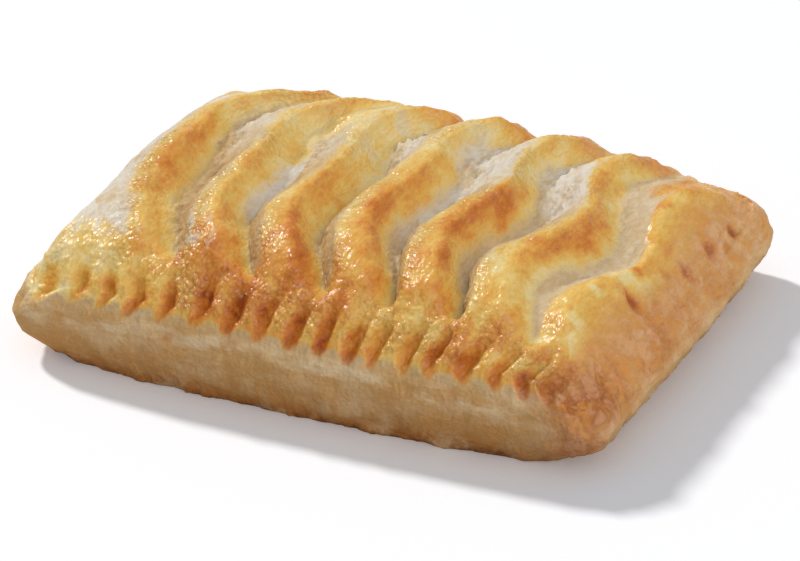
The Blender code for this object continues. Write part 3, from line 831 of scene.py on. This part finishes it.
finish = dict(
    # egg-washed crust, from barely coloured to darkest
    wash=(
        (0.00, (0.65, 0.515, 0.235)),
        (0.18, (0.635, 0.43, 0.12)),
        (0.36, (0.605, 0.34, 0.066)),
        (0.54, (0.56, 0.240, 0.038)),
        (0.70, (0.475, 0.152, 0.019)),
        (0.86, (0.40, 0.105, 0.008)),
        (1.00, (0.27, 0.045, 0.004)),
    ),
    # bare dough, from the slashes' floors to their white walls
    dough=(
        (0.00, (0.36, 0.21, 0.085)),
        (0.35, (0.44, 0.285, 0.125)),
        (0.70, (0.50, 0.385, 0.235)),
        (1.00, (0.57, 0.52, 0.435)),
    ),
    # the smooth right end, from its pits up
    rose=(
        (0.00, (0.30, 0.090, 0.022)),
        (0.35, (0.44, 0.18, 0.055)),
        (0.65, (0.47, 0.245, 0.090)),
        (1.00, (0.54, 0.34, 0.155)),
    ),
    # the side wall, from the base up
    wall=(
        (0.00, (0.20, 0.065, 0.013)),
        (0.07, (0.33, 0.13, 0.032)),
        (0.22, (0.41, 0.205, 0.066)),
        (0.50, (0.44, 0.250, 0.092)),
        (0.72, (0.47, 0.275, 0.105)),
        (0.90, (0.53, 0.325, 0.125)),
        (1.00, (0.56, 0.320, 0.095)),
    ),
    # painted glints on the wash's bubbles, and painted shade where the bubbles crowd
    paintedBubbleGlint=(0.70, 0.58, 0.38, 1), paintedBubbleShade=(0.26, 0.13, 0.04, 1),
    # patches on the smooth end, and on the wall
    endPink=(0.58, 0.30, 0.155, 1), endAmber=(0.54, 0.22, 0.042, 1),
    wallPale=(0.54, 0.37, 0.20, 1), wallBrown=(0.42, 0.20, 0.062, 1),
    wallBand=(0.60, 0.45, 0.27, 1), wallLeaf=(0.60, 0.47, 0.28, 1),
    # patterns
    blotchScale=210.0, grainScale=900.0, bubbleScale=820.0,
    cloud=dict(Scale=110.0, Detail=4.0, Roughness=0.65),
    pink=dict(Scale=190.0, Detail=3.0, Roughness=0.6, Distortion=0.8),
    leaves=dict(Scale=140.0, Detail=3.0, Distortion=1.2),
    streaks=dict(Scale=70.0, Detail=4.0, Roughness=0.6),
    # how a pattern is drawn out: on the lid, and for the wall's leaves and streaks
    lidDrawn=(1.0, 0.55, 1.0), leafDrawn=(1.0, 1.0, 1.8), streakDrawn=(1.0, 1.0, 3.2),
    # roughness of dough and of wash, the bump, and what is the same all over
    matt=0.75, glossy=0.48, bumpStrength=0.9, bumpHeight=0.0006,
    plain={
        "Coat Roughness": 0.27, "Specular IOR Level": 0.06, "Subsurface Weight": 0.35,
        "Subsurface Radius": (1.0, 0.55, 0.25), "Subsurface Scale": 0.002,
    },
)


def drawnOut(tree, place, scale):
    return node(tree, "ShaderNodeMapping", Vector=place, Scale=scale).outputs[0]


def plainMaterial(name, plain):
    material = bpy.data.materials.new(name)
    material.use_nodes = True
    surface = material.node_tree.nodes["Principled BSDF"]
    for socket, value in plain.items():
        surface.inputs[socket].default_value = value
    return material


def crustMaterial(breakup):
    material = plainMaterial("bakedCrust", finish["plain"])
    tree = material.node_tree
    surface = tree.nodes["Principled BSDF"]
    place = node(tree, "ShaderNodeTexCoord").outputs["Object"]
    uneven = node(tree, "ShaderNodeGroup", node_tree=breakup)
    connect(tree, uneven.inputs["Place"], drawnOut(tree, place, finish["lidDrawn"]))
    uneven.inputs["Blotch Scale"].default_value = finish["blotchScale"]
    uneven.inputs["Grain Scale"].default_value = finish["grainScale"]
    blotch, grain = uneven.outputs["Blotch"], uneven.outputs["Grain"]
    up, rose = surfaceValue(tree, "up"), surfaceValue(tree, "rose")
    cloud = speckle(tree, place, **finish["cloud"])

    def shaken(value, byBlotch, byGrain):
        value = plus(tree, value, times(tree, blotch, byBlotch))
        return plus(tree, value, times(tree, grain, byGrain))

    # egg wash over bare dough
    washColor = colorRamp(tree, shaken(surfaceValue(tree, "brown"), 0.26, 0.12), finish["wash"])
    doughColor = colorRamp(tree, shaken(surfaceValue(tree, "cream"), 0.16, 0.16), finish["dough"])
    washed = spread(tree, shaken(surfaceValue(tree, "glaze"), 0.22, 0.25), 0.0, 1.0, 0.2, 0.8)
    lidColor = blended(tree, washed, doughColor, washColor)
    # painted shade darkens the wash where bubbles crowd, and painted glints whiten the bubbles' tops
    bubble = node(tree, "ShaderNodeTexVoronoi", Vector=place, Scale=finish["bubbleScale"])
    bubble = bubble.outputs["Distance"]
    bubblesAndPaintedLight = surfaceValue(tree, "bubblesAndPaintedLight")
    paintedGlints = times(tree, below(tree, bubble, 0.55, 0.12, 0.42), bubblesAndPaintedLight)
    # painted shade on the lit lips and rim, where bubbles crowd
    lidColor = blended(tree, times(tree, bubblesAndPaintedLight, 0.16), lidColor, finish["paintedBubbleShade"])
    # painted glints: pale tops on the bubbles
    lidColor = blended(tree, times(tree, paintedGlints, 0.4), lidColor, finish["paintedBubbleGlint"])
    # the smooth end, pinkish in patches
    clouded = plus(tree, surfaceValue(tree, "baked"), spread(tree, cloud, -0.35, 0.35, 0.30, 0.70))
    endColor = colorRamp(tree, shaken(clouded, 0.35, 0.20), finish["rose"])
    pink = speckle(tree, place, **finish["pink"])
    endColor = blended(tree, above(tree, pink, 0.5, 0.50, 0.62), endColor, finish["endPink"])
    endColor = blended(tree, below(tree, pink, 0.62, 0.36, 0.50), endColor, finish["endAmber"])
    lidColor = blended(tree, times(tree, rose, 0.9), lidColor, endColor)

    # the wall's leaves run level round the parcel, so their noise is drawn out sideways
    leaves = speckle(tree, drawnOut(tree, place, finish["leafDrawn"]), **finish["leaves"])
    line = below(tree, worked(tree, "ABSOLUTE", minus(tree, leaves, 0.5)), 1.0, 0.0, 0.02)
    wallColor = colorRamp(tree, shaken(up, 0.09, 0.05), finish["wall"])
    wallColor = blended(tree, above(tree, cloud, 0.65, 0.50, 0.66), wallColor, finish["wallPale"])
    # a pale band of uncoloured dough lies in streaks under the crimped edge
    streaks = speckle(tree, drawnOut(tree, place, finish["streakDrawn"]), **finish["streaks"])
    band = times(tree, above(tree, streaks, 0.85, 0.46, 0.62), above(tree, up, 1.0, 0.35, 0.65))
    wallColor = blended(tree, band, wallColor, finish["wallBand"])
    wallColor = blended(tree, below(tree, cloud, 0.60, 0.32, 0.48), wallColor, finish["wallBrown"])
    leafy = times(tree, line, above(tree, up, 0.22, 0.1, 0.4))
    wallColor = blended(tree, leafy, wallColor, finish["wallLeaf"])
    onWall = below(tree, up, 1.0, 0.78, 0.92)
    bareWall = times(tree, onWall, minus(tree, 1.0, times(tree, washed, 0.6)))
    bareWall = times(tree, bareWall, spread(tree, rose, 1.0, 0.15))
    connect(tree, surface.inputs["Base Color"], blended(tree, bareWall, lidColor, wallColor))

    # the wash is glossy, in glints on its bubbles, and less so in the fork marks
    gloss = times(tree, washed, above(tree, up, 1.0, 0.7, 0.9))
    roughness = spread(tree, gloss, finish["matt"], finish["glossy"])
    connect(tree, surface.inputs["Roughness"], plus(tree, roughness, times(tree, grain, 0.10)))
    onBubbles = worked(tree, "MINIMUM", times(tree, bubblesAndPaintedLight, 0.8), 1.0)
    gloss = worked(tree, "MAXIMUM", gloss, onBubbles)
    glints = times(tree, gloss, spread(tree, grain, 0.3, 1.0, -0.1, 0.6))
    glints = times(tree, glints, spread(tree, surfaceValue(tree, "press"), 1.0, 0.15))
    connect(tree, surface.inputs["Coat Weight"], glints)
    height = plus(tree, uneven.outputs["Blister"], times(tree, line, times(tree, onWall, 0.12)))
    height = minus(tree, height, times(tree, bubble, times(tree, bubblesAndPaintedLight, 0.9)))
    bump = node(tree, "ShaderNodeBump", Height=height, Strength=finish["bumpStrength"],
                Distance=finish["bumpHeight"]).outputs[0]
    connect(tree, surface.inputs["Normal"], bump)
    connect(tree, surface.inputs["Coat Normal"], bump)
    return material


crustPiece = bpy.data.objects.new("crust", crustMesh())
bpy.context.scene.collection.objects.link(crustPiece)
crustPiece.data.materials.append(crustMaterial(bakedBreakup()))
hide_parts("pastry")
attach(crustPiece, "root")
print("crust:", len(crustPiece.data.polygons), "faces")

# lengths here are metres and angles degrees; the lights shine from the given directions
studio = dict(
    worldColor=(0.97, 0.985, 1.06, 1), worldStrength=0.36, floorSize=6.0,
    floor={
        "Base Color": (0.99, 0.99, 0.99, 1), "Roughness": 0.8,
        "Emission Color": (0.97, 0.985, 1.0, 1), "Emission Strength": 0.17,
    },
    keyStrength=2.52, keyAngle=6.0, keyFrom=(-1.18, 0.62, 1.0),
    fillStrength=2.18, fillAngle=70.0, fillFrom=(12, -5, 15),
    # the camera: how far round and down it looks, at what, from how far, and its lens
    turn=24.3, down=28.5, target=(0.00591, -0.0100, 0.0134), distance=0.858, lens=178.4, sensor=36,
)


def makeFloor():
    bpy.ops.mesh.primitive_plane_add(size=studio["floorSize"])
    floor = bpy.context.object
    floor.name = "floor"
    floor.data.materials.append(plainMaterial("paleFloor", studio["floor"]))


def makeLight(name):
    lamp = bpy.data.lights.new(name, "SUN")
    lamp.energy = studio[name + "Strength"]
    lamp.angle = math.radians(studio[name + "Angle"])
    held = bpy.data.objects.new(name, lamp)
    held.rotation_euler = Vector(studio[name + "From"]).to_track_quat("Z", "Y").to_euler()
    bpy.context.scene.collection.objects.link(held)
    return held


def makeLights():
    makeLight("key")
    # the fill reaches the food alone, as a reflector held close to it would
    lit = bpy.data.collections.new("food")
    lit.objects.link(crustPiece)
    makeLight("fill").light_linking.receiver_collection = lit
    world = bpy.data.worlds.new("studio")
    world.use_nodes = True
    background = world.node_tree.nodes["Background"]
    background.inputs["Color"].default_value = studio["worldColor"]
    background.inputs["Strength"].default_value = studio["worldStrength"]
    bpy.context.scene.world = world


def makeCamera():
    turn, down = math.radians(studio["turn"]), math.radians(studio["down"])
    away = Vector((math.sin(turn) * math.cos(down), -math.cos(turn) * math.cos(down), math.sin(down)))
    lens = bpy.data.cameras.new("camera")
    lens.sensor_width = studio["sensor"]
    lens.lens = studio["lens"]
    camera = bpy.data.objects.new("camera", lens)
    camera.location = Vector(studio["target"]) + away * studio["distance"]
    camera.rotation_euler = away.to_track_quat("Z", "Y").to_euler()
    bpy.context.scene.collection.objects.link(camera)
    bpy.context.scene.camera = camera
    bpy.context.scene.view_settings.view_transform = "Standard"


makeFloor()
makeLights()
makeCamera()
print("studio ready")
